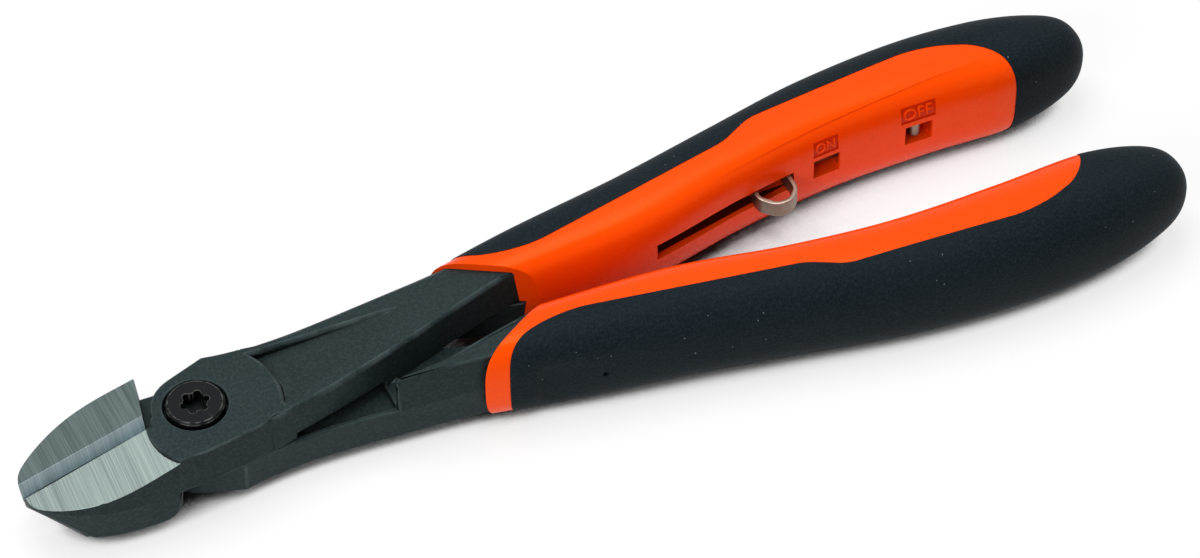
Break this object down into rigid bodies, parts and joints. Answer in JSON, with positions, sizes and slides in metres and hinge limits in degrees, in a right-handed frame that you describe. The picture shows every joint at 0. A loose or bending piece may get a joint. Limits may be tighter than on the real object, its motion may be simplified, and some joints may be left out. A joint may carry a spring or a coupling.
{
  "type": "side cutter",
  "caption": "Hand side cutter: lapped forged halves on a flat pivot screw, short bevelled blades, two-component handles and a slide-out return spring.",
  "frame": {"origin": "on the pivot axis at the head's flat back face", "axes": "+X from the pivot to the handle ends along the closed cutter's middle line, +Z along the pivot screw towards its head, +Y towards the handle that holds the spring"},
  "size_m": [0.2018, 0.0564, 0.0192],
  "materials": {
    "forged_steel_top": "black phosphate, satin; blades ground bright",
    "forged_steel_bottom": "black phosphate, satin; blades ground bright",
    "screw_steel": "turned, slightly darkened",
    "hard_plastic_spring": "orange, smooth gloss",
    "soft_grip_spring": "black, fine matt grain",
    "hard_plastic_plain": "orange, smooth gloss",
    "soft_grip_plain": "black, fine matt grain",
    "spring_steel": "bright strip with a brown temper tint"
  },
  "bodies": {
    "spring_half": {"top_forging": "forged_steel_top", "spring_handle_core": "hard_plastic_spring", "spring_handle_grip": "soft_grip_spring"},
    "plain_half": {"bottom_forging": "forged_steel_bottom", "pivot_screw": "screw_steel", "plain_handle_core": "hard_plastic_plain", "plain_handle_grip": "soft_grip_plain"},
    "spring": {"return_spring": "spring_steel"}
  },
  "joints": [
    {"name": "pivot", "type": "hinge", "parent": "spring_half", "child": "plain_half", "pos_m": [0, 0, 0], "axis": [0, 0, -1], "range_deg": [-0.8, 27.2]},
    {"name": "spring_slide", "type": "slide", "parent": "spring_half", "child": "spring", "axis": [-1, 0, 0], "range_m": [0, 0.0179]}
  ]
}
